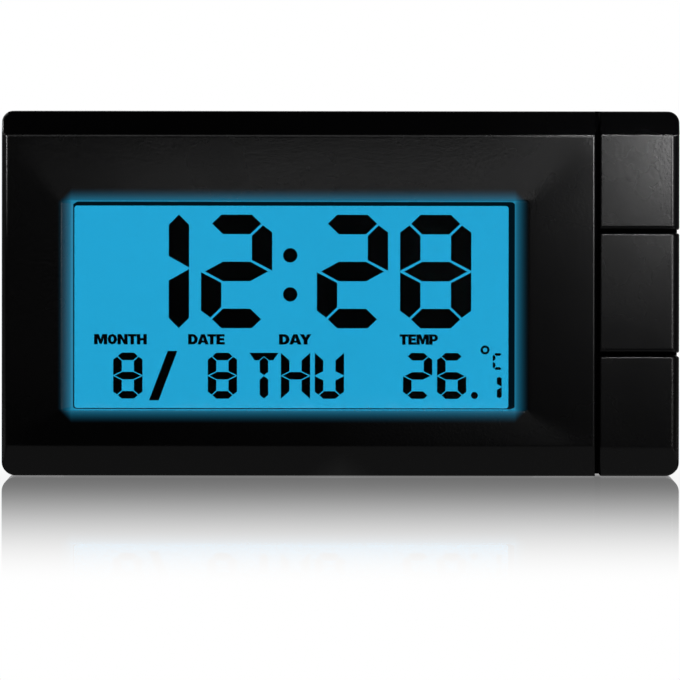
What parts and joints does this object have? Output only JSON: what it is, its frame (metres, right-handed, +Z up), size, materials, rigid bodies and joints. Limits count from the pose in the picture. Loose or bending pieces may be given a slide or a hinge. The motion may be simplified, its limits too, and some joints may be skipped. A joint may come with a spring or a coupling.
{
  "type": "dashboard clock",
  "caption": "Low rectangular dashboard clock with a backlit blue liquid crystal display, side buttons that press, a sliding battery door at the back and a stick-down pad.",
  "frame": {"origin": "centre of the clock's width and depth, on the underside of the mounting pad", "axes": "+X to the viewer's right across the face, +Y from the face to the back, +Z up"},
  "size_m": [0.075, 0.018, 0.0405],
  "materials": {
    "satin_black_abs": "fine satin moulding grain",
    "button_black_abs": "fine satin moulding grain",
    "switch_plastic": "moulded",
    "tinned_steel": "tinned sheet",
    "clear_acrylic": "polished",
    "black_foam": "fine closed cells",
    "polariser_film": "smooth film",
    "display_glass": "polished",
    "dark_liquid_crystal": "flat dark",
    "lit_film": "smooth film lit from behind",
    "white_film": "matt film",
    "led_package": "moulded",
    "white_plastic": "moulded",
    "zebra_rubber": "striped silicone",
    "green_laminate": "solder mask over glass fibre",
    "black_epoxy": "cast drop",
    "chip_ceramic": "fired",
    "cell_steel": "nickel plated",
    "spring_brass": "stamped strip",
    "black_screw_steel": "blackened",
    "foam_tape": "fine closed cells with a smooth skin"
  },
  "bodies": {
    "case": {"front_bezel": "satin_black_abs", "rear_case": "satin_black_abs", "switch_top": "switch_plastic", "switch_middle": "switch_plastic", "switch_bottom": "switch_plastic", "switch_frames": "tinned_steel", "display_lens": "clear_acrylic", "dust_gasket": "black_foam", "front_polariser": "polariser_film", "front_glass": "display_glass", "lcd_segments": "dark_liquid_crystal", "rear_glass": "display_glass", "rear_polariser": "lit_film", "diffuser_sheet": "white_film", "light_guide": "clear_acrylic", "reflector_sheet": "white_film", "backlight_leds": "led_package", "display_frame": "white_plastic", "zebra_strip": "zebra_rubber", "circuit_board": "green_laminate", "chip_blob": "black_epoxy", "quartz_crystal": "tinned_steel", "chip_parts": "chip_ceramic", "temperature_sensor": "black_epoxy", "coin_cell": "cell_steel", "positive_contact": "spring_brass", "negative_contact": "spring_brass", "board_screws": "tinned_steel", "case_screws": "black_screw_steel", "mounting_pad": "foam_tape"},
    "top_button": {"button_top": "button_black_abs", "plunger_top": "switch_plastic"},
    "middle_button": {"button_middle": "button_black_abs", "plunger_middle": "switch_plastic"},
    "bottom_button": {"button_bottom": "button_black_abs", "plunger_bottom": "switch_plastic"},
    "door": {"battery_door": "satin_black_abs"}
  },
  "joints": [
    {"name": "top_button_press", "type": "slide", "parent": "case", "child": "top_button", "axis": [0, 1, 0], "range_m": [0, 0.0005], "stiffness_N_per_m": 3000},
    {"name": "middle_button_press", "type": "slide", "parent": "case", "child": "middle_button", "axis": [0, 1, 0], "range_m": [0, 0.0005], "stiffness_N_per_m": 3000},
    {"name": "bottom_button_press", "type": "slide", "parent": "case", "child": "bottom_button", "axis": [0, 1, 0], "range_m": [0, 0.0005], "stiffness_N_per_m": 3000},
    {"name": "battery_door_slide", "type": "slide", "parent": "case", "child": "door", "axis": [0, 0, 1], "range_m": [0, 0.024]}
  ]
}
